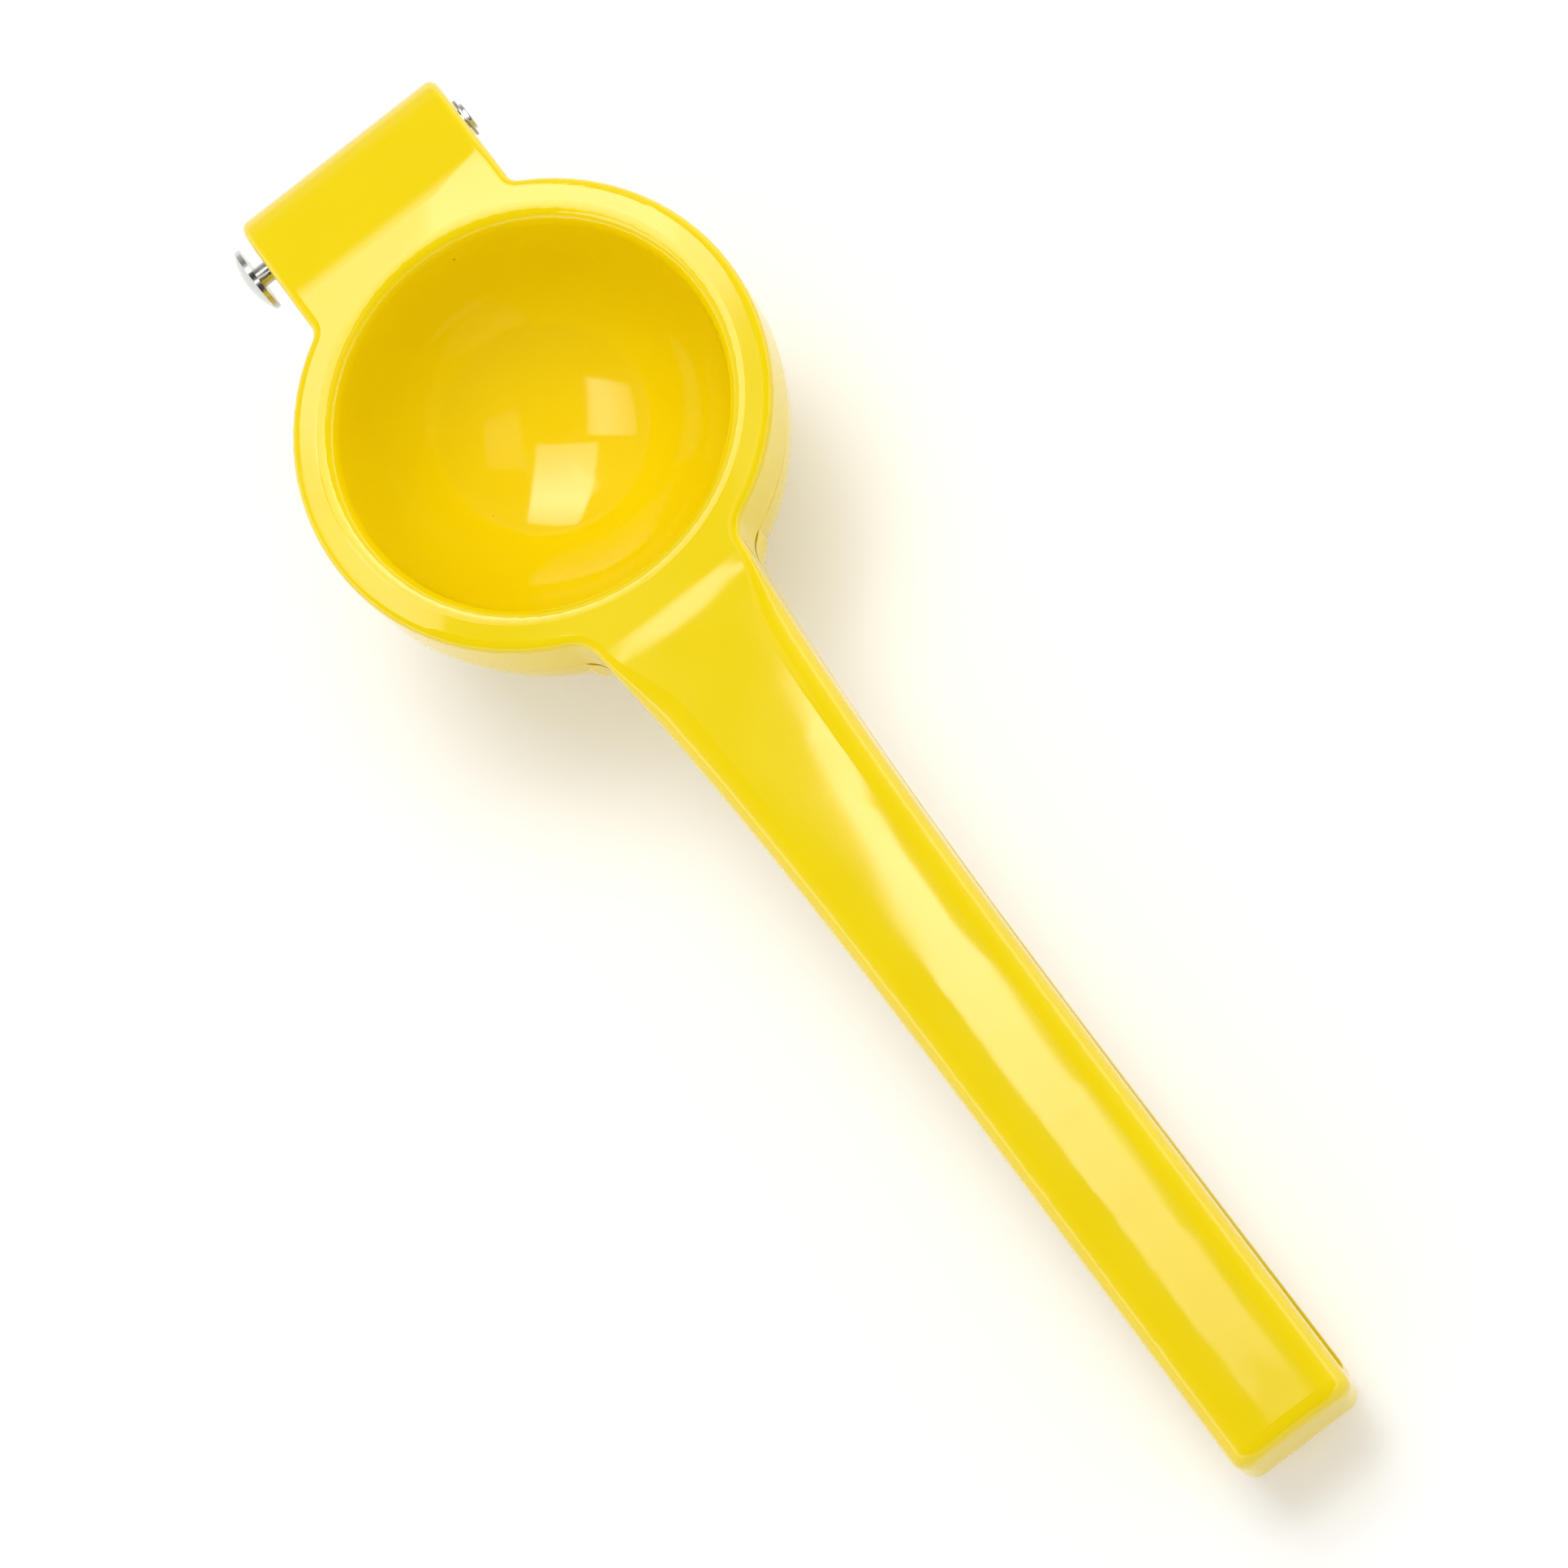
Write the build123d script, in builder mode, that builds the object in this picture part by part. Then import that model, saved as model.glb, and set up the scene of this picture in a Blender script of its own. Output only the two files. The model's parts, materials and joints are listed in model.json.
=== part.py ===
from build123d import *
import os
from math import asin, atan2, cos, degrees, hypot, radians, sin, sqrt

# A hinged citrus squeezer of two enamelled castings. The press arm's dome closes into the bowl
# of the strainer arm, and both swing on one rivet at the end away from the handles.
# Each piece is modelled square to the parting plane, with X along the handles, Z up and the
# bowl's axis through the origin. Then all are laid down together, as the closed squeezer lies
# on a table: on the edge of the bowl's foot and the tip of the lower handle.

# Sizes in millimetres. Head of the press arm
parting_gap = 0.8
ring_radius = 32.6
ring_height = 9.2
ring_edge_radius = 1.3
rim_width = 5.9
cup_depth = 26.5
cup_lip_radius = 2.6
press_wall = 2.6
press_root_radius = 1.0

# Bowl of the strainer arm
bowl_inset = 0.4
bowl_wall = 2.5
bowl_rim_radius = 0.8
foot_radius = 12.0
drain_hole_radius = 2.1
drain_edge_radius = 0.4
inner_drain_circle = 7.2
inner_drain_count = 6
outer_drain_circle = 17.0
outer_drain_count = 12

# Handles
handle_length = 135.4
strainer_tip_setback = 3.5
neck_run = 13.4
neck_half_width = 11.9
neck_fillet_radius = 4.5
neck_step_length = 4.0
neck_step_rise = 0.15
grip_half_width = 8.75
strainer_extra_half_width = 0.3
grip_height = 11.2
strainer_grip_height = 9.2
grip_crown_rise = 1.2
grip_crown_run = 40.0
grip_shoulder_radius = 4.2
grip_end_radius = 2.2
grip_taper_power = 4.5
neck_station_count = 25
crown_station_count = 49
grip_station_count = 8

# Channel that lightens each handle, open on its inner face
channel_setback = 12.0
channel_tip_wall = 14.0
channel_side_wall = 3.6
channel_back_wall = 3.6
channel_floor_radius = 1.6

# Hinge
hinge_standoff = 10.9
hinge_rise = 1.2
hood_width = 32.8
hood_cheek = 4.0
hood_wall = 2.3
hood_drop = 1.4
hood_flat_run = 1.4
hood_bend_radius = 14.0
hood_corner_radius = 2.0
hood_lip_rise = 1.0
knuckle_side_clearance = 0.3
knuckle_swing_clearance = 0.5
knuckle_web_depth = 7.0

# Rivet and washer
rivet_radius = 1.5
rivet_bore_clearance = 0.05
rivet_float = 1.9
rivet_end_gap = 0.1
rivet_head_lip = 3.2
rivet_head_height = 2.0
rivet_head_edge = 0.7
rivet_set_lip = 0.5
rivet_set_height = 0.5
rivet_set_round = 0.2
rivet_hollow_wall = 0.7
rivet_hollow_depth = 3.5
washer_lip = 1.3
washer_thickness = 0.4
washer_edge_radius = 0.1
rivet_dome_mid_radius_share = 0.5
rivet_dome_mid_rise_share = 0.75

# How far cuts run past the faces that they open
overrun = 5.0

# Sizes that follow from those above
seat = parting_gap / 2
ring_top = seat + ring_height
cup_mouth_radius = ring_radius - rim_width
cup_radius = (cup_mouth_radius**2 + cup_depth**2) / (2 * cup_depth)
cup_centre = ring_top - cup_depth + cup_radius
dome_radius = cup_radius + press_wall
dome_seat_radius = sqrt(dome_radius**2 - (cup_centre - seat) ** 2)
head_root = cup_mouth_radius - cup_lip_radius
bowl_radius = ring_radius - bowl_inset
bowl_inner_radius = bowl_radius - bowl_wall
foot_drop = sqrt(bowl_radius**2 - foot_radius**2)
floor_drop = foot_drop - bowl_wall
floor_radius = sqrt(bowl_inner_radius**2 - floor_drop**2)
press_reach = ring_radius + handle_length
strainer_reach = press_reach - strainer_tip_setback
neck_reach = ring_radius + neck_run
neck_centre = sqrt((ring_radius + neck_fillet_radius) ** 2 - (neck_half_width + neck_fillet_radius) ** 2)
neck_tangent = neck_centre * ring_radius / (ring_radius + neck_fillet_radius)
neck_tangent_half_width = sqrt(ring_radius**2 - neck_tangent**2)
crown_reach = neck_centre + grip_crown_run
channel_start = neck_reach + channel_setback
channel_half_width = grip_half_width - channel_side_wall
strainer_channel_floor = channel_back_wall - strainer_grip_height - seat
hinge_reach = ring_radius + hinge_standoff
hood_flat_reach = ring_radius + hood_flat_run
hood_radius = ring_top - hinge_rise - hood_drop
swing_radius = hood_radius - hood_wall
hood_gap = hood_width - 2 * hood_cheek
knuckle_radius = swing_radius - knuckle_swing_clearance
knuckle_width = hood_gap - 2 * knuckle_side_clearance
rivet_bore_radius = rivet_radius + rivet_bore_clearance
rivet_head_radius = rivet_radius + rivet_head_lip
rivet_set_radius = rivet_radius + rivet_set_lip
rivet_hollow_radius = rivet_radius - rivet_hollow_wall
washer_radius = rivet_radius + washer_lip
rivet_head_seat = hood_width / 2 + rivet_end_gap + rivet_float
washer_seat = hood_width / 2 + rivet_end_gap
rivet_set_seat = washer_seat + washer_thickness
rivet_dome_rise = rivet_head_height - rivet_head_edge

# The rivet's own plane: first direction along the rivet, second upwards
hinge_plane = Plane(origin=(-hinge_reach, 0, hinge_rise), x_dir=(0, 1, 0), z_dir=(1, 0, 0))
hinge_side_plane = Plane(origin=(-hinge_reach, 0, hinge_rise), x_dir=(1, 0, 0), z_dir=(0, -1, 0))
hinge_axis = Axis((-hinge_reach, 0, hinge_rise), (0, 1, 0))


def half_width_at(x, reach):
    """Half the handle's width at x: the neck's fillet, then a taper that dies out along the grip."""
    run_share = max(0, (x - neck_centre) / (reach - neck_centre))
    taper = (neck_half_width - grip_half_width) * (1 - run_share) ** grip_taper_power
    into_fillet = min(max(0, neck_centre - x), neck_centre - neck_tangent)
    flare = neck_fillet_radius - sqrt(neck_fillet_radius**2 - into_fillet**2)
    return grip_half_width + taper + flare


def grip_section(x, half_width, height, crown_rise, shoulder_radius, side):
    """A handle's cross-section at x: flat on the parting side, rounded shoulders and a low crown.
    side is 1 for the press handle, which stands up, and -1 for the strainer handle, which hangs."""
    base = Plane(origin=(x, 0, side * seat), x_dir=(0, side, 0), z_dir=(1, 0, 0))
    left_shoulder = (-half_width, height - crown_rise)
    right_shoulder = (half_width, height - crown_rise)
    with BuildSketch(base) as section:
        with BuildLine():
            Polyline(left_shoulder, (-half_width, 0), (half_width, 0), right_shoulder)
            if crown_rise > 0:
                ThreePointArc(right_shoulder, (0, height), left_shoulder)
            else:
                Line(right_shoulder, left_shoulder)
        make_face()
        fillet(section.vertices().group_by(Axis.Y)[-1], shoulder_radius)
    return section.sketch


def eased(run_share):
    """A step from 0 to 1 that starts and ends level."""
    run_share = min(max(0, run_share), 1)
    return run_share**2 * (3 - 2 * run_share)


def press_height(x):
    """The press handle's height at x: a low step up from the neck, then a steady rise to the tip."""
    step = neck_step_rise * eased((x - neck_centre) / neck_step_length)
    run_share = max(0, (x - neck_centre) / (press_reach - neck_centre))
    return ring_height + step + run_share * (grip_height - ring_height - neck_step_rise)


def press_section(x):
    """The press handle's cross-section at x, which grows from the flat neck into the crowned grip."""
    half_width = half_width_at(x, press_reach)
    crown_rise = grip_crown_rise * min(max(0, (x - neck_centre) / grip_crown_run), 1)
    shoulder = eased((x - neck_centre) / (neck_reach - neck_centre))
    shoulder_radius = ring_edge_radius + shoulder * (grip_shoulder_radius - ring_edge_radius)
    return grip_section(x, half_width, press_height(x), crown_rise, shoulder_radius, 1)


def strainer_section(x):
    """The strainer handle's cross-section at x, a little wider than the press handle's at its tip."""
    extra = strainer_extra_half_width * max(0, x - neck_centre) / (strainer_reach - neck_centre)
    half_width = half_width_at(x, strainer_reach) + extra
    return grip_section(x, half_width, strainer_grip_height, grip_crown_rise, grip_shoulder_radius, -1)


def evenly_spaced(start, end, count):
    """Places from start to end, both included."""
    return [start + (end - start) * step / (count - 1) for step in range(count)]


with BuildPart() as press_arm:
    # Ring and dome, one turned solid
    with BuildSketch(Plane.XZ) as head_profile:
        with BuildLine():
            dome_bottom = (0, cup_centre - dome_radius)
            dome_seat = (dome_seat_radius, seat)
            RadiusArc(dome_bottom, dome_seat, -dome_radius)
            Polyline(dome_seat, (ring_radius, seat), (ring_radius, ring_top), (0, ring_top), dome_bottom)
        make_face()
        fillet(head_profile.vertices().group_by(Axis.Y)[1].sort_by(Axis.X)[0], press_root_radius)
    revolve(axis=Axis.Z)
    # Hinge hood, drawn from the side and run across: a barrel about the rivet, faired into the ring
    with BuildSketch(Plane.XZ) as hood_profile:
        with BuildLine():
            hood_top = (-hood_flat_reach, ring_top)
            hood_heel = (-hood_flat_reach, seat)
            Line(hood_top, hood_heel)
            CenterArc((-hinge_reach, hinge_rise), hood_radius, 0, 360)
        make_hull()
        with BuildLine():
            Polyline(hood_top, (-head_root, ring_top), (-head_root, seat), hood_heel, close=True)
        make_face()
        fillet(hood_profile.vertices().sort_by_distance(hood_top)[0], hood_bend_radius)
    extrude(amount=hood_width / 2, both=True)
    fillet(press_arm.edges().filter_by(Axis.Z), hood_corner_radius)
    # Flat neck, as wide at its end as the handle and flared into the ring
    with BuildSketch(Plane.XY.offset(seat)) as neck_outline:
        with BuildLine():
            left_root = (neck_tangent, -neck_tangent_half_width)
            left_end = (neck_centre, -neck_half_width)
            right_root = (neck_tangent, neck_tangent_half_width)
            right_end = (neck_centre, neck_half_width)
            RadiusArc(left_root, left_end, neck_fillet_radius)
            Line(left_end, right_end)
            RadiusArc(right_end, right_root, neck_fillet_radius)
            Polyline(right_root, (0, 0), left_root)
        make_face()
    extrude(amount=ring_height)
    top_face = press_arm.faces().filter_by(Plane.XY).sort_by(Axis.Z)[-1]
    fillet(top_face.edges().filter_by(Axis.Y, reverse=True), ring_edge_radius)
    # Room under the hood for the strainer arm's knuckle and its web, which swings below it
    with BuildSketch(Plane.XZ) as hood_room:
        with Locations((-hinge_reach, hinge_rise)):
            Circle(swing_radius)
        with BuildLine():
            room_back = -hinge_reach - hood_radius - overrun
            room_bottom = hinge_rise - hood_radius - overrun
            Polyline(
                (room_back, hinge_rise + hood_lip_rise),
                (-hinge_reach, hinge_rise + hood_lip_rise),
                (-hinge_reach + swing_radius, hinge_rise),
                (-hinge_reach + swing_radius, seat),
                (-hood_flat_reach, seat),
                (-hood_flat_reach, room_bottom),
                (room_back, room_bottom),
                close=True,
            )
        make_face()
    extrude(amount=hood_gap / 2, both=True, mode=Mode.SUBTRACT)
    # Handle: the step up from the neck and the run where the crown grows, then the long grip
    loft(sections=[press_section(x) for x in evenly_spaced(neck_centre, crown_reach, crown_station_count)])
    loft(sections=[press_section(x) for x in evenly_spaced(crown_reach, press_reach, grip_station_count)])
    tip_edges = press_arm.faces().sort_by(Axis.X)[-1].edges()
    fillet(tip_edges.sort_by(Axis.Z)[1:], grip_end_radius)
    # Hollow of the cup, with a rounded lip
    with BuildSketch(Plane.XZ) as cup_profile:
        with BuildLine():
            cup_bottom = (0, ring_top - cup_depth)
            cup_mouth = (cup_mouth_radius, ring_top)
            RadiusArc(cup_bottom, cup_mouth, -cup_radius)
            Polyline(cup_mouth, (0, ring_top), cup_bottom)
        make_face()
    revolve(axis=Axis.Z, mode=Mode.SUBTRACT)
    lip_face = press_arm.faces().filter_by(Plane.XY).sort_by(Axis.Z)[-1]
    fillet(lip_face.inner_wires()[0].edges(), cup_lip_radius)
    # Channel in the handle's inner face
    with BuildSketch(Plane.XY.offset(seat)) as press_channel:
        channel_end = press_reach - channel_tip_wall
        with Locations(((channel_start + channel_end) / 2, 0)):
            SlotOverall(channel_end - channel_start, 2 * channel_half_width)
    press_channel_depth = press_height(channel_start) - channel_back_wall
    extrude(amount=press_channel_depth, mode=Mode.SUBTRACT)
    channel_floor = press_arm.faces().filter_by(Plane.XY).sort_by_distance(
        (channel_start + channel_half_width, 0, seat + press_channel_depth)
    )[0]
    fillet(channel_floor.edges(), channel_floor_radius)
    # Rivet bore
    with BuildSketch(hinge_side_plane) as press_bore:
        Circle(rivet_bore_radius)
    extrude(amount=hood_width, both=True, mode=Mode.SUBTRACT)

with BuildPart() as strainer_arm:
    # Bowl with a flat foot, one turned solid
    with BuildSketch(Plane.XZ) as bowl_profile:
        with BuildLine():
            foot_edge = (foot_radius, -foot_drop)
            bowl_rim = (sqrt(bowl_radius**2 - seat**2), -seat)
            Line((0, -foot_drop), foot_edge)
            RadiusArc(foot_edge, bowl_rim, -bowl_radius)
            Polyline(bowl_rim, (0, -seat), (0, -foot_drop))
        make_face()
        fillet(bowl_profile.vertices().sort_by_distance(bowl_rim)[0], bowl_rim_radius)
    revolve(axis=Axis.Z)
    # Hinge knuckle on a web from the bowl
    with BuildSketch(Plane.XZ) as knuckle_profile:
        with Locations((-hinge_reach, hinge_rise)):
            Circle(knuckle_radius)
        with BuildLine():
            Polyline(
                (-hinge_reach, hinge_rise - knuckle_radius),
                (-hinge_reach, hinge_rise),
                (-hinge_reach + knuckle_radius / 2, -seat),
                (-head_root, -seat),
                (-head_root, -seat - knuckle_web_depth),
                close=True,
            )
        make_face()
    extrude(amount=knuckle_width / 2, both=True)
    # Handle
    loft(sections=[strainer_section(x) for x in evenly_spaced(head_root, neck_reach, neck_station_count)])
    loft(sections=[strainer_section(x) for x in evenly_spaced(neck_reach, strainer_reach, grip_station_count)])
    tip_edges = strainer_arm.faces().sort_by(Axis.X)[-1].edges()
    fillet(tip_edges.sort_by(Axis.Z)[:-1], grip_end_radius)
    # Hollow of the bowl, with a flat floor over the foot and a rounded rim
    with BuildSketch(Plane.XZ) as hollow_profile:
        with BuildLine():
            floor_edge = (floor_radius, -floor_drop)
            hollow_rim = (sqrt(bowl_inner_radius**2 - seat**2), -seat)
            Line((0, -floor_drop), floor_edge)
            RadiusArc(floor_edge, hollow_rim, -bowl_inner_radius)
            Polyline(hollow_rim, (0, -seat), (0, -floor_drop))
        make_face()
    revolve(axis=Axis.Z, mode=Mode.SUBTRACT)
    rim_face = strainer_arm.faces().filter_by(Plane.XY).sort_by(Axis.Z)[-1]
    fillet(rim_face.inner_wires().sort_by(Axis.X)[0].edges(), bowl_rim_radius)
    # Drain holes
    with BuildSketch(Plane.XY.offset(-foot_drop - overrun)) as drain_holes:
        Circle(drain_hole_radius)
        with PolarLocations(inner_drain_circle, inner_drain_count):
            Circle(drain_hole_radius)
        with PolarLocations(outer_drain_circle, outer_drain_count):
            Circle(drain_hole_radius)
    extrude(amount=foot_drop, mode=Mode.SUBTRACT)
    hole_walls = strainer_arm.faces().filter_by(
        lambda face: face.geom_type == GeomType.CYLINDER and abs(face.radius - drain_hole_radius) < 0.001
    )
    fillet(hole_walls.edges().filter_by(GeomType.LINE, reverse=True), drain_edge_radius)
    # Channel in the handle's inner face
    with BuildSketch(Plane.XY.offset(-seat)) as strainer_channel:
        channel_end = strainer_reach - channel_tip_wall
        with Locations(((channel_start + channel_end) / 2, 0)):
            SlotOverall(channel_end - channel_start, 2 * channel_half_width)
    extrude(amount=strainer_channel_floor + seat, mode=Mode.SUBTRACT)
    channel_floor = strainer_arm.faces().filter_by(Plane.XY).sort_by_distance(
        (channel_start + channel_half_width, 0, strainer_channel_floor)
    )[0]
    fillet(channel_floor.edges(), channel_floor_radius)
    # Rivet bore
    with BuildSketch(hinge_side_plane) as strainer_bore:
        Circle(rivet_bore_radius)
    extrude(amount=hood_width, both=True, mode=Mode.SUBTRACT)

with BuildPart() as hinge_rivet:
    # Domed head, shank and rolled end with its hollow, turned about the hinge axis
    with BuildSketch(hinge_plane) as rivet_profile:
        with BuildLine():
            head_top = (-rivet_head_seat - rivet_head_height, 0)
            head_edge = (-rivet_head_seat - rivet_head_edge, rivet_head_radius)
            head_mid = (
                -rivet_head_seat - rivet_head_edge - rivet_dome_rise * rivet_dome_mid_rise_share,
                rivet_head_radius * rivet_dome_mid_radius_share,
            )
            ThreePointArc(head_top, head_mid, head_edge)
            set_top = rivet_set_seat + rivet_set_height
            Polyline(
                head_edge,
                (-rivet_head_seat, rivet_head_radius),
                (-rivet_head_seat, rivet_radius),
                (rivet_set_seat, rivet_radius),
                (rivet_set_seat, rivet_set_radius),
                (set_top, rivet_set_radius),
                (set_top, rivet_hollow_radius),
                (set_top - rivet_hollow_depth, rivet_hollow_radius),
                (set_top - rivet_hollow_depth, 0),
                head_top,
            )
        make_face()
        fillet(rivet_profile.vertices().group_by(Axis.X)[-1], rivet_set_round)
    revolve(axis=hinge_axis)

with BuildPart() as rivet_washer:
    with BuildSketch(Plane.XZ.offset(-washer_seat)) as washer_face:
        with Locations((-hinge_reach, hinge_rise)):
            Circle(washer_radius)
            Circle(rivet_bore_radius, mode=Mode.SUBTRACT)
    extrude(amount=-washer_thickness)
    fillet(rivet_washer.edges().filter_by(GeomType.CIRCLE).group_by(SortBy.RADIUS)[-1], washer_edge_radius)

# Lie of the closed squeezer: tilted until the foot's edge and the rounded tip touch one plane
tip_run = strainer_reach - grip_end_radius - foot_radius
tip_climb = foot_drop - seat - strainer_grip_height + grip_end_radius
tilt = degrees(atan2(tip_climb, tip_run) - asin(grip_end_radius / hypot(tip_run, tip_climb)))
tilt_cos = cos(radians(tilt))
tilt_sin = sin(radians(tilt))
lift = foot_drop * tilt_cos + foot_radius * tilt_sin
hood_back = -hinge_reach * tilt_cos + hinge_rise * tilt_sin - hood_radius
press_tip = (
    (press_reach - grip_end_radius) * tilt_cos
    + (seat + grip_height - grip_end_radius) * tilt_sin
    + grip_end_radius
)
lie = Location((-(hood_back + press_tip) / 2, 0, lift), (0, tilt, 0))

os.makedirs("parts", exist_ok=True)
pieces = {
    "press_arm": press_arm,
    "strainer_arm": strainer_arm,
    "hinge_rivet": hinge_rivet,
    "rivet_washer": rivet_washer,
}
for name, piece in pieces.items():
    piece.part.label = name
    piece.part.move(lie)
    export_step(piece.part, f"parts/{name}.step")
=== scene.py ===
"""A closed lever citrus squeezer: two yellow enamelled castings on one steel rivet, on a pale studio floor.

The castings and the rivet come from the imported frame. This script gives them their finishes, and sets
the floor, the soft lights and the camera around them. All lengths are metres in the frame's own axes:
+X runs along the handles, +Z is up.
"""

from __future__ import annotations

import json
import logging
import math
from dataclasses import dataclass
from enum import Enum

import bpy
import numpy as np
from mathutils import Matrix

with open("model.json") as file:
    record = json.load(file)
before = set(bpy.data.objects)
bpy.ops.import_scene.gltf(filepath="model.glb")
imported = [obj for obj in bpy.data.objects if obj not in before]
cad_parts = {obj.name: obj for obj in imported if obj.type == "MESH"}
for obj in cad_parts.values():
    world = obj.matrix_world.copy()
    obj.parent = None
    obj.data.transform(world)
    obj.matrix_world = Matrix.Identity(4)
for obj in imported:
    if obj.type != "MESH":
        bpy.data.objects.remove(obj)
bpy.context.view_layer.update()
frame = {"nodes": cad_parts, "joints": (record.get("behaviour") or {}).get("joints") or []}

MILLIMETRE = 0.001
RIGHT_ANGLE = math.pi / 2
# The Mix node's sockets when it mixes colours
MIX_SHARE, MIX_FIRST, MIX_SECOND, MIX_RESULT = 0, 6, 7, 2
# Where the noise of a mottled finish starts to count, and where it counts in full
MOTTLE_LOW, MOTTLE_HIGH = 0.3, 0.7
log = logging.getLogger("squeezer")

Colour = tuple[float, float, float]
Point = tuple[float, float, float]


class NodeKind(Enum):
    """The shader nodes that the finishes are wired from."""

    ADD_SHADER = "ShaderNodeAddShader"
    BACKGROUND = "ShaderNodeBackground"
    BUMP = "ShaderNodeBump"
    COMBINE = "ShaderNodeCombineXYZ"
    COORDINATES = "ShaderNodeTexCoord"
    DIFFUSE = "ShaderNodeBsdfDiffuse"
    EMISSION = "ShaderNodeEmission"
    GEOMETRY = "ShaderNodeNewGeometry"
    GROUP = "ShaderNodeGroup"
    GROUP_IN = "NodeGroupInput"
    GROUP_OUT = "NodeGroupOutput"
    LIGHT_OUT = "ShaderNodeOutputLight"
    LIGHT_PATH = "ShaderNodeLightPath"
    MAP_RANGE = "ShaderNodeMapRange"
    MATERIAL_OUT = "ShaderNodeOutputMaterial"
    MATH = "ShaderNodeMath"
    MIX = "ShaderNodeMix"
    MIX_SHADER = "ShaderNodeMixShader"
    NOISE = "ShaderNodeTexNoise"
    PRINCIPLED = "ShaderNodeBsdfPrincipled"
    SEPARATE = "ShaderNodeSeparateXYZ"
    TRANSPARENT = "ShaderNodeBsdfTransparent"
    VECTOR_MATH = "ShaderNodeVectorMath"
    VORONOI = "ShaderNodeTexVoronoi"
    WORLD_OUT = "ShaderNodeOutputWorld"


class Board:
    """A node tree with short calls that add nodes and wire them."""

    def __init__(self, tree: bpy.types.NodeTree) -> None:
        """Empties the tree, ready for new nodes.

        Args:
            tree: the node tree of a material, a world, a light or a group.
        """
        self.tree = tree
        tree.nodes.clear()

    def add(self, kind: NodeKind, values: dict | None = None, **settings: object) -> bpy.types.Node:
        """Adds one node.

        Args:
            kind: which node to add.
            values: socket name or number to its value, or to an output socket to wire from.
            settings: the node's own settings, such as operation="MULTIPLY".

        Returns:
            The new node.
        """
        node = self.tree.nodes.new(kind.value)
        for name, setting in settings.items():
            setattr(node, name, setting)
        for socket, value in (values or {}).items():
            self.feed(node.inputs[socket], value)
        return node

    def feed(self, socket: bpy.types.NodeSocket, value: object) -> None:
        """Sets a socket to a value, or wires it from another socket.

        Args:
            socket: the input socket.
            value: a number, a colour, a vector or an output socket.
        """
        if isinstance(value, bpy.types.NodeSocket):
            self.tree.links.new(value, socket)
        else:
            socket.default_value = value

    def math(self, operation: str, first: object, second: object = 0.0) -> bpy.types.NodeSocket:
        """A sum of two values: the socket that holds the result."""
        return self.add(NodeKind.MATH, {0: first, 1: second}, operation=operation).outputs[0]

    def ramp(
        self, value: object, low: object, high: object, to_low: object = 0.0, to_high: object = 1.0
    ) -> bpy.types.NodeSocket:
        """A smooth step between two values.

        Args:
            value: what is compared.
            low: where the step starts.
            high: where the step ends.
            to_low: the result up to low.
            to_high: the result from high on.

        Returns:
            The socket that holds the result.
        """
        places = {"Value": value, "From Min": low, "From Max": high, "To Min": to_low, "To Max": to_high}
        return self.add(NodeKind.MAP_RANGE, places, interpolation_type="SMOOTHSTEP").outputs["Result"]

    def blend(self, share: object, first: object, second: object) -> bpy.types.NodeSocket:
        """A mix of two colours.

        Args:
            share: how much of the second colour there is.
            first: a colour, or the socket that holds it.
            second: a colour, or the socket that holds it.

        Returns:
            The socket that holds the mix.
        """
        node = self.add(NodeKind.MIX, data_type="RGBA")
        self.feed(node.inputs[MIX_SHARE], share)
        for socket, colour in ((MIX_FIRST, first), (MIX_SECOND, second)):
            wired = isinstance(colour, bpy.types.NodeSocket)
            self.feed(node.inputs[socket], colour if wired else (*colour, 1.0))
        return node.outputs[MIX_RESULT]

    def noise(self, place: object, scale: object, detail: float) -> bpy.types.NodeSocket:
        """Smooth noise: the socket that holds it, about 0 to 1."""
        return self.add(NodeKind.NOISE, {"Vector": place, "Scale": scale, "Detail": detail}).outputs[0]

    def run_along(self, spot: object, middle: Point, turn: float, width: float) -> bpy.types.NodeSocket:
        """How far a spot lies along a level width, from 0 at one end to 1 at the other.

        Args:
            spot: the spot's place.
            middle: the middle of the width.
            turn: the width's direction, as a turn from +X.
            width: the width's length.

        Returns:
            The socket that holds the share.
        """
        along = (math.cos(turn) / width, math.sin(turn) / width, 0.0)
        offset = self.add(NodeKind.VECTOR_MATH, {0: spot, 1: middle}, operation="SUBTRACT")
        run = self.add(NodeKind.VECTOR_MATH, {0: offset.outputs[0], 1: along}, operation="DOT_PRODUCT")
        return self.math("ADD", run.outputs["Value"], 0.5)

    def group(self, tree: bpy.types.NodeTree, values: dict[str, float]) -> bpy.types.Node:
        """Places a node group with its inputs set.

        Args:
            tree: the group.
            values: input name to its value.

        Returns:
            The group's node.
        """
        node = self.add(NodeKind.GROUP, node_tree=tree)
        for name, value in values.items():
            self.feed(node.inputs[name], value)
        return node

    def one_sided(self, face: bpy.types.Node) -> None:
        """Ends a material whose face shows its shader in front and is clear from behind.

        Args:
            face: the shader node of the front.
        """
        behind = self.add(NodeKind.GEOMETRY).outputs["Backfacing"]
        clear = self.add(NodeKind.TRANSPARENT)
        both = self.add(NodeKind.MIX_SHADER, {0: behind, 1: face.outputs[0], 2: clear.outputs[0]})
        self.add(NodeKind.MATERIAL_OUT, {"Surface": both.outputs[0]})


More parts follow.
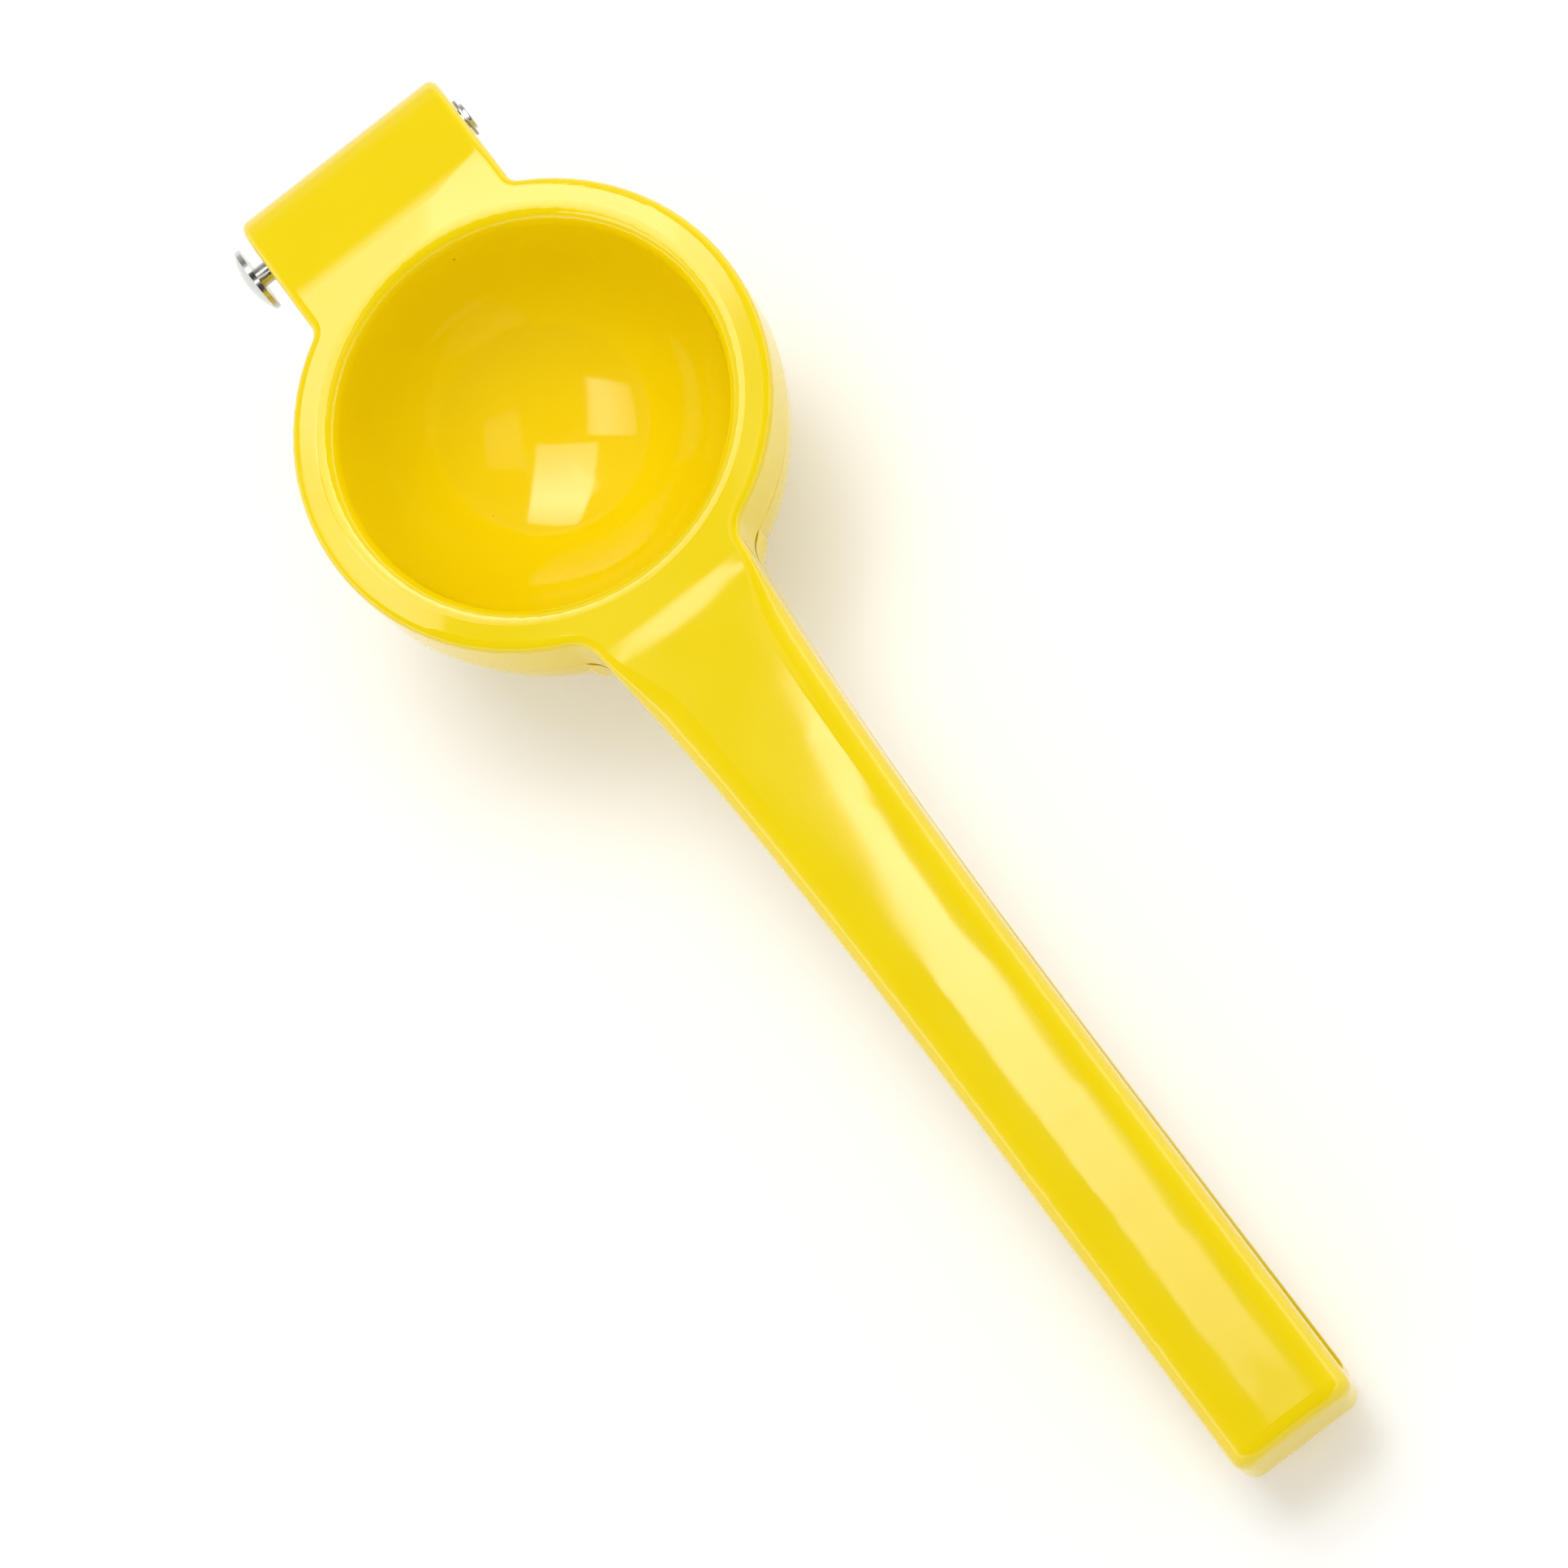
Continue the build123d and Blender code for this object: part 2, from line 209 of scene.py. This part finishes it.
def new_group(
    name: str, inputs: dict[str, float], outputs: list[str]
) -> tuple[Board, bpy.types.Node, bpy.types.Node]:
    """Starts a shader node group of plain numbers.

    Args:
        name: the group's name.
        inputs: input name to its default value.
        outputs: output names.

    Returns:
        The board of the group's tree, its input node and its output node.
    """
    tree = bpy.data.node_groups.new(name, "ShaderNodeTree")
    for label, value in inputs.items():
        tree.interface.new_socket(label, in_out="INPUT", socket_type="NodeSocketFloat").default_value = value
    for label in outputs:
        tree.interface.new_socket(label, in_out="OUTPUT", socket_type="NodeSocketFloat")
    board = Board(tree)
    return board, board.add(NodeKind.GROUP_IN), board.add(NodeKind.GROUP_OUT)


def new_material(name: str) -> tuple[bpy.types.Material, Board]:
    """Starts a material.

    Args:
        name: the material's name.

    Returns:
        The material, and the board of its empty tree.
    """
    made = bpy.data.materials.new(name)
    made.use_nodes = True
    return made, Board(made.node_tree)


def new_object(name: str, data: bpy.types.ID) -> bpy.types.Object:
    """Puts a new object with the given data into the scene.

    Args:
        name: the object's name.
        data: its mesh, light or camera.

    Returns:
        The object.
    """
    made = bpy.data.objects.new(name, data)
    bpy.context.scene.collection.objects.link(made)
    return made


class SurfaceEffects:
    """The node groups that the enamel and the steel share.

    The details are those of the noise under the waves and under the scuff marks. The edges are where
    that noise starts to count and where it counts in full.
    """

    wave_detail: float = 1.0
    mark_detail: float = 0.0
    mark_edge: tuple[float, float] = (0.72, 0.8)
    patch_scale: float = 45.0
    patch_edge: tuple[float, float] = (0.45, 0.7)

    def __init__(self) -> None:
        """Builds each group once."""
        self.unevenness = self._unevenness()
        self.specks = self._specks()
        self.scuffs = self._scuffs()

    def _unevenness(self) -> bpy.types.NodeTree:
        """A surface that is never quite flat: broad waves of the casting under fine ripples of the skin.

        Returns:
            A group from the sizes of waves and ripples to a height and a mottle, both about 0 to 1.
        """
        board, given, made = new_group(
            "surface_unevenness",
            {"Wave Size": 0.012, "Ripple Size": 0.0014, "Ripple Share": 0.1},
            ["Height", "Mottle"],
        )
        place = board.add(NodeKind.COORDINATES).outputs["Object"]
        scale = board.math("DIVIDE", 1.0, given.outputs["Wave Size"])
        waves = board.noise(place, scale, self.wave_detail)
        scale = board.math("DIVIDE", 1.0, given.outputs["Ripple Size"])
        ripples = board.noise(place, scale, self.wave_detail)
        fine = board.math("MULTIPLY", ripples, given.outputs["Ripple Share"])
        board.feed(made.inputs["Height"], board.math("ADD", waves, fine))
        board.feed(made.inputs["Mottle"], waves)
        return board.tree

    def _specks(self) -> bpy.types.NodeTree:
        """Small round marks, a few to each patch of surface: pinholes and settled grains.

        Returns:
            A group from spacing, size and share of cells that hold one to a mask, 1 in a mark.
        """
        board, given, made = new_group(
            "fine_specks",
            {"Spacing": 0.006, "Speck Size": 0.0002, "Share": 0.3},
            ["Mask"],
        )
        place = board.add(NodeKind.COORDINATES).outputs["Object"]
        scale = board.math("DIVIDE", 1.0, given.outputs["Spacing"])
        cells = board.add(NodeKind.VORONOI, {"Vector": place, "Scale": scale})
        reach = board.math("MULTIPLY", cells.outputs["Distance"], given.outputs["Spacing"])
        near = board.math("LESS_THAN", reach, given.outputs["Speck Size"])
        chance = board.add(NodeKind.SEPARATE, {"Vector": cells.outputs["Color"]}).outputs["X"]
        chosen = board.math("LESS_THAN", chance, given.outputs["Share"])
        board.feed(made.inputs["Mask"], board.math("MULTIPLY", near, chosen))
        return board.tree

    def _scuffs(self) -> bpy.types.NodeTree:
        """Fine rubbed marks in patches, drawn out along the handles.

        Returns:
            A group from the marks' width, stretch and amount to a mask, 1 on a mark.
        """
        board, given, made = new_group(
            "handling_scuffs",
            {"Mark Width": 0.0004, "Stretch": 14.0, "Amount": 0.3},
            ["Mask"],
        )
        place = board.add(NodeKind.COORDINATES).outputs["Object"]
        parts = board.add(NodeKind.SEPARATE, {"Vector": place})
        along = board.math("DIVIDE", parts.outputs["X"], given.outputs["Stretch"])
        drawn = board.add(NodeKind.COMBINE, {"X": along, "Y": parts.outputs["Y"], "Z": parts.outputs["Z"]})
        scale = board.math("DIVIDE", 1.0, given.outputs["Mark Width"])
        thin = board.ramp(board.noise(drawn.outputs[0], scale, self.mark_detail), *self.mark_edge)
        rubbed = board.noise(place, self.patch_scale, self.wave_detail)
        spread = board.math("MULTIPLY", thin, board.ramp(rubbed, *self.patch_edge))
        board.feed(made.inputs["Mask"], board.math("MULTIPLY", spread, given.outputs["Amount"]))
        return board.tree


@dataclass(frozen=True)
class SurfaceGrain:
    """How coarse a finish is: its waves and ripples, its specks, and its scuffs."""

    wave_size: float
    ripple_size: float
    ripple_share: float
    speck_spacing: float
    speck_size: float
    speck_share: float
    scuff_width: float
    scuff_stretch: float
    scuff_amount: float

    def uneven(self, board: Board, effects: SurfaceEffects) -> bpy.types.Node:
        """Places the waves and ripples."""
        sizes = {"Wave Size": self.wave_size, "Ripple Size": self.ripple_size}
        return board.group(effects.unevenness, sizes | {"Ripple Share": self.ripple_share})

    def specks(self, board: Board, effects: SurfaceEffects) -> bpy.types.NodeSocket:
        """Places the specks: the socket that holds their mask."""
        sizes = {"Spacing": self.speck_spacing, "Speck Size": self.speck_size, "Share": self.speck_share}
        return board.group(effects.specks, sizes).outputs["Mask"]

    def scuffs(self, board: Board, effects: SurfaceEffects) -> bpy.types.NodeSocket:
        """Places the scuffs: the socket that holds their mask."""
        sizes = {"Mark Width": self.scuff_width, "Stretch": self.scuff_stretch, "Amount": self.scuff_amount}
        return board.group(effects.scuffs, sizes).outputs["Mask"]


@dataclass(frozen=True)
class EnamelFinish:
    """Thick glossy enamel over a casting: clear deep yellow, a little uneven, with a few pinholes."""

    name: str
    deep: Colour = (0.90, 0.665, 0.001)
    pale: Colour = (0.94, 0.715, 0.002)
    speck: Colour = (0.42, 0.25, 0.01)
    gloss_low: float = 0.07
    gloss_high: float = 0.10
    scuff_gloss: float = 0.2
    refraction: float = 1.52
    pit_depth: float = 0.5
    relief: float = 0.000008
    grain: SurfaceGrain = SurfaceGrain(
        wave_size=0.014,
        ripple_size=0.0013,
        ripple_share=0.04,
        speck_spacing=0.007,
        speck_size=0.00016,
        speck_share=0.25,
        scuff_width=0.0005,
        scuff_stretch=14.0,
        scuff_amount=0.35,
    )

    def material(self, effects: SurfaceEffects) -> bpy.types.Material:
        """Wires the finish.

        Args:
            effects: the shared node groups.

        Returns:
            The new material.
        """
        made, board = new_material(self.name)
        uneven = self.grain.uneven(board, effects)
        pinholes = self.grain.specks(board, effects)
        scuffs = self.grain.scuffs(board, effects)
        mottle = uneven.outputs["Mottle"]
        colour = board.blend(pinholes, board.blend(mottle, self.deep, self.pale), self.speck)
        gloss = board.ramp(mottle, MOTTLE_LOW, MOTTLE_HIGH, self.gloss_low, self.gloss_high)
        gloss = board.math("ADD", gloss, board.math("MULTIPLY", scuffs, self.scuff_gloss))
        pits = board.math("MULTIPLY", pinholes, self.pit_depth)
        height = board.math("SUBTRACT", uneven.outputs["Height"], pits)
        bump = board.add(NodeKind.BUMP, {"Strength": 1.0, "Distance": self.relief, "Height": height})
        shader = board.add(
            NodeKind.PRINCIPLED,
            {
                "Base Color": colour,
                "Roughness": gloss,
                "IOR": self.refraction,
                "Normal": bump.outputs["Normal"],
            },
        )
        board.add(NodeKind.MATERIAL_OUT, {"Surface": shader.outputs[0]})
        return made


@dataclass(frozen=True)
class SteelFinish:
    """Bright plated steel, turned about the rivet's own axis, which runs along Y."""

    name: str
    axis: Point
    bright: Colour = (0.66, 0.66, 0.64)
    dull: Colour = (0.42, 0.42, 0.41)
    gloss_low: float = 0.14
    gloss_high: float = 0.30
    wear_gloss: float = 0.2
    across_axis: Point = (1.0, 0.0, 1.0)
    ring_pitch: float = 0.00035
    ring_depth: float = 0.35
    relief: float = 0.000004
    grain: SurfaceGrain = SurfaceGrain(
        wave_size=0.002,
        ripple_size=0.0003,
        ripple_share=0.3,
        speck_spacing=0.0012,
        speck_size=0.00008,
        speck_share=0.3,
        scuff_width=0.00015,
        scuff_stretch=6.0,
        scuff_amount=0.8,
    )

    def material(self, effects: SurfaceEffects) -> bpy.types.Material:
        """Wires the finish.

        Args:
            effects: the shared node groups.

        Returns:
            The new material.
        """
        made, board = new_material(self.name)
        place = board.add(NodeKind.COORDINATES).outputs["Object"]
        centred = board.add(NodeKind.VECTOR_MATH, {0: place, 1: self.axis}, operation="SUBTRACT").outputs[0]
        flat = board.add(NodeKind.VECTOR_MATH, {0: centred, 1: self.across_axis}, operation="MULTIPLY")
        radius = board.add(NodeKind.VECTOR_MATH, {0: flat.outputs[0]}, operation="LENGTH").outputs["Value"]
        rings = board.math("SINE", board.math("MULTIPLY", radius, math.tau / self.ring_pitch))
        uneven = self.grain.uneven(board, effects)
        specks = self.grain.specks(board, effects)
        worn = board.math("MAXIMUM", self.grain.scuffs(board, effects), specks)
        colour = board.blend(worn, self.bright, self.dull)
        mottle = uneven.outputs["Mottle"]
        gloss = board.ramp(mottle, MOTTLE_LOW, MOTTLE_HIGH, self.gloss_low, self.gloss_high)
        gloss = board.math("ADD", gloss, board.math("MULTIPLY", worn, self.wear_gloss))
        turned = board.math("MULTIPLY", rings, self.ring_depth)
        height = board.math("ADD", turned, uneven.outputs["Height"])
        bump = board.add(NodeKind.BUMP, {"Strength": 1.0, "Distance": self.relief, "Height": height})
        shader = board.add(
            NodeKind.PRINCIPLED,
            {
                "Base Color": colour,
                "Metallic": 1.0,
                "Roughness": gloss,
                "Normal": bump.outputs["Normal"],
            },
        )
        board.add(NodeKind.MATERIAL_OUT, {"Surface": shader.outputs[0]})
        return made


@dataclass(frozen=True)
class LyingTool:
    """Where the squeezer's own measures lie in the frame.

    The tool is measured along its handles from the bowl's axis, across them, and up from the plane where
    the two arms meet. It lies with its handles tipped down to the floor.
    """

    hinge: Point
    hinge_reach: float = 43.5 * MILLIMETRE
    hinge_rise: float = 1.2 * MILLIMETRE
    ring_top: float = 9.6 * MILLIMETRE
    tilt: float = math.radians(7.67723)

    def place(self, along: float, across: float, up: float) -> np.ndarray:
        """A point of the tool in the frame: its offset from the hinge, turned by the tilt.

        Args:
            along: how far it lies along the handles.
            across: how far it lies across them.
            up: how far it lies above the parting plane.

        Returns:
            The point.
        """
        run, rise = along + self.hinge_reach, up - self.hinge_rise
        turn_cos, turn_sin = math.cos(self.tilt), math.sin(self.tilt)
        offset = (run * turn_cos + rise * turn_sin, across, rise * turn_cos - run * turn_sin)
        return np.array(self.hinge) + np.array(offset)

    def ring_middle(self) -> np.ndarray:
        """The middle of the ring's top."""
        return self.place(0.0, 0.0, self.ring_top)


@dataclass(frozen=True)
class PhotoCamera:
    """The camera at the photograph's viewing angle, set by what its picture shows."""

    target: np.ndarray
    elevation: float = math.radians(57.862)
    side: float = math.radians(3.292)
    roll: float = math.radians(53.301)
    distance: float = 723.335 * MILLIMETRE
    focal_pixels: float = 6810.758
    target_pixel: tuple[float, float] = (650.884, 505.953)
    frame_pixels: int = 1932
    sensor: float = 36.0
    nearest: float = 0.01
    farthest: float = 20.0

    def back(self) -> np.ndarray:
        """The direction from the target to the camera."""
        level = math.cos(self.elevation)
        return np.array((level * math.cos(self.side), level * math.sin(self.side), math.sin(self.elevation)))

    def axes(self) -> np.ndarray:
        """The camera's right, down and forward directions, as rows.

        The camera first looks straight at the target with the handle's direction turned by the roll,
        then pans so that the target falls on its own pixel.

        Returns:
            A 3 by 3 array.
        """
        forward = -self.back()
        handle = np.array((1.0, 0.0, 0.0))
        handle = handle - forward * (handle @ forward)
        handle /= np.linalg.norm(handle)
        cross = np.cross(forward, handle)
        right = math.cos(self.roll) * handle - math.sin(self.roll) * cross
        down = math.sin(self.roll) * handle + math.cos(self.roll) * cross
        middle = self.frame_pixels / 2
        aim = np.array([(pixel - middle) / self.focal_pixels for pixel in self.target_pixel] + [1.0])
        aim /= np.linalg.norm(aim)
        axis = np.cross((0.0, 0.0, 1.0), aim)
        sine = np.linalg.norm(axis)
        x, y, z = axis / sine
        skew = np.array(((0.0, -z, y), (z, 0.0, -x), (-y, x, 0.0)))
        cosine = math.sqrt(1.0 - sine * sine)
        pan = np.eye(3) + sine * skew + (1.0 - cosine) * skew @ skew
        return pan @ np.array((right, down, forward))

    def build(self) -> bpy.types.Object:
        """Makes the camera and makes it the scene's own.

        Returns:
            The camera object.
        """
        data = bpy.data.cameras.new("photo_camera")
        data.sensor_width = self.sensor
        data.lens = self.focal_pixels / self.frame_pixels * self.sensor
        data.clip_start, data.clip_end = self.nearest, self.farthest
        made = new_object("photo_camera", data)
        right, down, forward = self.axes()
        turned = np.eye(4)
        turned[:3, 0], turned[:3, 1], turned[:3, 2] = right, -down, -forward
        turned[:3, 3] = self.target + self.distance * self.back()
        made.matrix_world = Matrix(turned.tolist())
        bpy.context.scene.camera = made
        return made


@dataclass(frozen=True)
class Softbox:
    """One soft light that hangs level over the squeezer and shines straight down.

    It is full at one end of its width and fades to a share of that at the other end. A cut one is masked
    at its full end by a slanting edge, which starts that share of its length in and runs out to its side.
    A softbox that isn't mirrored lights surfaces without showing in their gloss.
    """

    name: str
    place: Point
    width: float
    length: float
    radiance: float
    turn: float = 0.0
    end_share: float = 1.0
    mirrored: bool = True
    cut: float = 0.0
    cut_run: float = 0.35
    cut_softness: float = 0.12

    def build(self) -> bpy.types.Object:
        """Makes the light. Its power is its full radiance times pi times its area.

        Returns:
            The light object.
        """
        data = bpy.data.lights.new(self.name, "AREA")
        data.shape = "RECTANGLE"
        data.size, data.size_y = self.width, self.length
        data.energy = self.radiance * math.pi * self.width * self.length
        self._fade(data)
        made = new_object(self.name, data)
        made.location = self.place
        made.rotation_euler = (0.0, 0.0, self.turn)
        made.visible_camera = False
        made.visible_glossy = self.mirrored
        return made

    def _fade(self, data: bpy.types.AreaLight) -> None:
        """Wires the light's strength to the place along its width, and across it where it is cut.

        Args:
            data: the light.
        """
        data.use_nodes = True
        board = Board(data.node_tree)
        spot = board.add(NodeKind.GEOMETRY).outputs["Position"]
        run = board.run_along(spot, self.place, self.turn, self.width)
        strength = board.ramp(run, 0.0, 1.0, 1.0, self.end_share)
        if self.cut:
            across = board.run_along(spot, self.place, self.turn + RIGHT_ANGLE, self.length)
            edge = board.ramp(run, 0.0, self.cut_run, self.cut, -self.cut_softness)
            open_share = board.ramp(across, edge, board.math("ADD", edge, self.cut_softness))
            strength = board.math("MULTIPLY", strength, open_share)
        glow = board.add(NodeKind.EMISSION, {"Strength": strength})
        board.add(NodeKind.LIGHT_OUT, {"Surface": glow.outputs[0]})


@dataclass(frozen=True)
class ReflectorCard:
    """A small card that glows down into the bowl from close above it, and shows only in gloss.

    Its glow rises from one end of its width to a bright band, and falls again towards the other end.
    """

    name: str
    place: Point
    width: float
    length: float
    turn: float
    start_glow: float
    band_glow: float
    end_share: float
    band: float = 0.58

    def build(self) -> bpy.types.Object:
        """Makes the card: the four corners of a level rectangle, turned about its middle, facing down.

        Returns:
            The card, seen only in gloss.
        """
        halves = np.array((-0.5, 0.5))
        run, side = np.meshgrid(halves * self.width, halves * self.length, indexing="ij")
        turn_cos, turn_sin = math.cos(self.turn), math.sin(self.turn)
        offset = (run * turn_cos - side * turn_sin, run * turn_sin + side * turn_cos, 0.0 * run)
        points = np.array(self.place) + np.stack(offset, axis=-1).reshape(-1, 3)
        mesh = bpy.data.meshes.new(self.name)
        mesh.from_pydata(points.tolist(), [], [(0, 1, 3, 2)])
        mesh.materials.append(self._glow())
        made = new_object(self.name, mesh)
        made.visible_camera = made.visible_diffuse = made.visible_shadow = False
        made.visible_transmission = made.visible_volume_scatter = False
        return made

    def _glow(self) -> bpy.types.Material:
        """Glows below, with a band across the width, and is clear from above.

        Returns:
            The card's material.
        """
        made, board = new_material(self.name)
        spot = board.add(NodeKind.COORDINATES).outputs["Object"]
        run = board.run_along(spot, self.place, self.turn, self.width)
        rise = board.ramp(run, 0.0, self.band, self.start_glow, self.band_glow)
        fall = board.ramp(run, self.band, 1.0, 1.0, self.end_share)
        board.one_sided(board.add(NodeKind.EMISSION, {"Strength": board.math("MULTIPLY", rise, fall)}))
        return made


@dataclass(frozen=True)
class Studio:
    """The white floor and the white surroundings.

    Heights and sides of the surroundings are parts of a direction's length, from 0 level to 1 overhead.
    """

    floor_radius: float = 3.0
    floor_rings: int = 24
    floor_spokes: int = 96
    floor_colour: Colour = (0.86, 0.86, 0.86)
    floor_lift: float = 0.22
    far_lift: float = 0.7
    lift_start: float = 0.25
    lift_end: float = 1.6
    backdrop: float = 1.0
    backdrop_height: float = 0.22
    room: float = 0.6
    room_top: float = 0.2
    room_low: float = 0.35
    room_high: float = 0.75
    room_start: float = -0.6
    room_end: float = 0.2
    camera_side: float = 0.04
    camera_fill: float = 0.62
    side_wall: float = 2.2
    side_wall_height: float = 0.32
    side_wall_start: float = 0.3
    side_wall_end: float = 0.9

    def build(self) -> bpy.types.Object:
        """Makes the floor and the world.

        Returns:
            The floor object.
        """
        self._world()
        floor = self._floor_mesh()
        floor.data.materials.append(self._floor_material())
        return floor

    def _floor_mesh(self) -> bpy.types.Object:
        """A flat disc: a grid of rings and spokes, closed at its middle by a fan.

        Returns:
            The floor object.
        """
        radius = np.linspace(0.0, self.floor_radius, self.floor_rings + 1)[1:, None]
        angle = np.linspace(0.0, math.tau, self.floor_spokes, endpoint=False)[None, :]
        rim = np.stack((radius * np.cos(angle), radius * np.sin(angle), 0.0 * radius * angle), axis=-1)
        points = np.concatenate((np.zeros((1, 3)), rim.reshape(-1, 3)))
        spoke = np.arange(self.floor_spokes)
        after = (spoke + 1) % self.floor_spokes
        fan = np.stack((0 * spoke, 1 + spoke, 1 + after), axis=-1)
        inner = 1 + np.arange(self.floor_rings - 1)[:, None] * self.floor_spokes
        outer = inner + self.floor_spokes
        quads = np.stack((inner + spoke, outer + spoke, outer + after, inner + after), axis=-1)
        mesh = bpy.data.meshes.new("studio_floor")
        mesh.from_pydata(points.tolist(), [], fan.tolist() + quads.reshape(-1, 4).tolist())
        return new_object("studio_floor", mesh)

    def _floor_material(self) -> bpy.types.Material:
        """Pale matt floor, lifted to white where the camera or a reflection sees it, shadows kept.

        Returns:
            The floor's material.
        """
        made, board = new_material("studio_floor")
        matt = board.add(NodeKind.DIFFUSE, {"Color": (*self.floor_colour, 1.0)})
        place = board.add(NodeKind.COORDINATES).outputs["Object"]
        reach = board.add(NodeKind.VECTOR_MATH, {0: place}, operation="LENGTH").outputs["Value"]
        glow = board.ramp(reach, self.lift_start, self.lift_end, self.floor_lift, self.far_lift)
        path = board.add(NodeKind.LIGHT_PATH)
        seen = board.math("MAXIMUM", path.outputs["Is Camera Ray"], self._mirrored(board, path))
        lift = board.add(NodeKind.EMISSION, {"Strength": board.math("MULTIPLY", seen, glow)})
        board.one_sided(board.add(NodeKind.ADD_SHADER, {0: matt.outputs[0], 1: lift.outputs[0]}))
        return made

    @staticmethod
    def _mirrored(board: Board, path: bpy.types.Node) -> bpy.types.NodeSocket:
        """1 where a mirror-like surface or a clear one looks."""
        return board.math("MAXIMUM", path.outputs["Is Glossy Ray"], path.outputs["Is Transmission Ray"])

    def _world(self) -> None:
        """White to the camera, and low down to gloss. Higher up, a dim room, dark on the camera's side."""
        world = bpy.data.worlds.new("studio")
        world.use_nodes = True
        board = Board(world.node_tree)
        direction = board.add(NodeKind.COORDINATES).outputs["Generated"]
        part = board.add(NodeKind.SEPARATE, {"Vector": direction})
        path = board.add(NodeKind.LIGHT_PATH)
        camera = path.outputs["Is Camera Ray"]
        fill = board.math("MULTIPLY", path.outputs["Is Diffuse Ray"], self.camera_fill)
        dark = board.math("ADD", fill, self.camera_side)
        back = board.ramp(part.outputs["Z"], self.room_low, self.room_high, self.room, self.room_top)
        room = board.ramp(part.outputs["X"], self.room_start, self.room_end, back, dark)
        aside = board.math("ABSOLUTE", part.outputs["Y"])
        sideways = board.ramp(aside, self.side_wall_start, self.side_wall_end)
        wall = board.ramp(part.outputs["Z"], 0.0, self.side_wall_height, self.side_wall, 0.0)
        around = board.math("ADD", room, board.math("MULTIPLY", sideways, wall))
        low = board.ramp(part.outputs["Z"], 0.0, self.backdrop_height, 1.0, 0.0)
        seen = board.math("MAXIMUM", camera, board.math("MULTIPLY", self._mirrored(board, path), low))
        unseen = board.math("MULTIPLY", around, board.math("SUBTRACT", 1.0, camera))
        strength = board.math("MAXIMUM", unseen, board.math("MULTIPLY", seen, self.backdrop))
        sky = board.add(NodeKind.BACKGROUND, {"Color": (1.0, 1.0, 1.0, 1.0), "Strength": strength})
        board.add(NodeKind.WORLD_OUT, {"Surface": sky.outputs[0]})
        bpy.context.scene.world = world


def dress_node(node: str, finish: bpy.types.Material) -> None:
    """Gives a CAD node its finish.

    Args:
        node: the node's name.
        finish: the material for all of it.
    """
    piece = frame["nodes"][node]
    piece.data.materials.clear()
    piece.data.materials.append(finish)
    log.info("%s dressed in %s", node, finish.name)


@dataclass(frozen=True)
class PressArm:
    """The upper casting: ring, press cup, handle and hinge hood, enamelled as one piece."""

    finish: EnamelFinish = EnamelFinish("press_enamel")
    node: str = "press_arm"

    def dress(self, effects: SurfaceEffects) -> None:
        """Enamels the casting all over."""
        dress_node(self.node, self.finish.material(effects))


@dataclass(frozen=True)
class StrainerArm:
    """The lower casting: perforated bowl, handle and hinge knuckle, enamelled as one piece."""

    finish: EnamelFinish = EnamelFinish("strainer_enamel")
    node: str = "strainer_arm"

    def dress(self, effects: SurfaceEffects) -> None:
        """Enamels the casting all over."""
        dress_node(self.node, self.finish.material(effects))


@dataclass(frozen=True)
class RivetSet:
    """The hinge's rivet, bright from its turning, and the plain washer under its set end."""

    axis: Point
    rivet: str = "hinge_rivet"
    washer: str = "rivet_washer"
    washer_bright: Colour = (0.48, 0.48, 0.46)
    washer_gloss: tuple[float, float] = (0.24, 0.40)

    def dress(self, effects: SurfaceEffects) -> None:
        """Gives the rivet turned steel and the washer a duller pressed steel.

        Args:
            effects: the shared node groups.
        """
        dress_node(self.rivet, SteelFinish("turned_steel", self.axis).material(effects))
        low, high = self.washer_gloss
        pressed = SteelFinish(
            "pressed_steel", self.axis, bright=self.washer_bright, gloss_low=low, gloss_high=high
        )
        dress_node(self.washer, pressed.material(effects))


LIGHTS = (
    Softbox("handle_softbox", (-0.28, 0.03, 2.0), 0.37, 0.70, 7.0, end_share=0.3, cut=0.6),
    Softbox("ring_softbox", (-0.4975, 0.08, 1.0), 0.325, 0.36, 4.5, turn=math.pi, end_share=0.15),
    Softbox("fill_softbox", (-0.25, 0.1, 1.0), 0.7, 0.7, 2.5, mirrored=False),
    ReflectorCard(
        name="main_card",
        place=(-0.0871, 0.0145, 0.085),
        width=0.0628,
        length=0.0356,
        turn=math.radians(141.8),
        start_glow=2.4,
        band_glow=5.8,
        end_share=0.5,
    ),
    ReflectorCard(
        name="near_card",
        place=(-0.0672, -0.0462, 0.085),
        width=0.0431,
        length=0.0401,
        turn=math.radians(223.7),
        start_glow=2.0,
        band_glow=3.0,
        end_share=0.4,
        band=0.15,
    ),
    ReflectorCard(
        name="far_card",
        place=(-0.036, 0.0283, 0.085),
        width=0.0393,
        length=0.0303,
        turn=math.radians(-21.8),
        start_glow=0.45,
        band_glow=0.6,
        end_share=0.7,
    ),
)


def main() -> None:
    """Dresses the squeezer's pieces in order, then builds the studio, the lights and the camera."""
    logging.basicConfig(level=logging.INFO, format="%(name)s: %(message)s")
    bpy.context.scene.view_settings.view_transform = "Standard"
    hinge = next(tuple(joint["pos_m"]) for joint in frame["joints"] if joint["name"] == "arm_hinge")
    effects = SurfaceEffects()
    for assembly in (PressArm(), StrainerArm(), RivetSet(hinge)):
        assembly.dress(effects)
    Studio().build()
    for light in LIGHTS:
        light.build()
    PhotoCamera(LyingTool(hinge).ring_middle()).build()


if __name__ == "__main__":
    main()
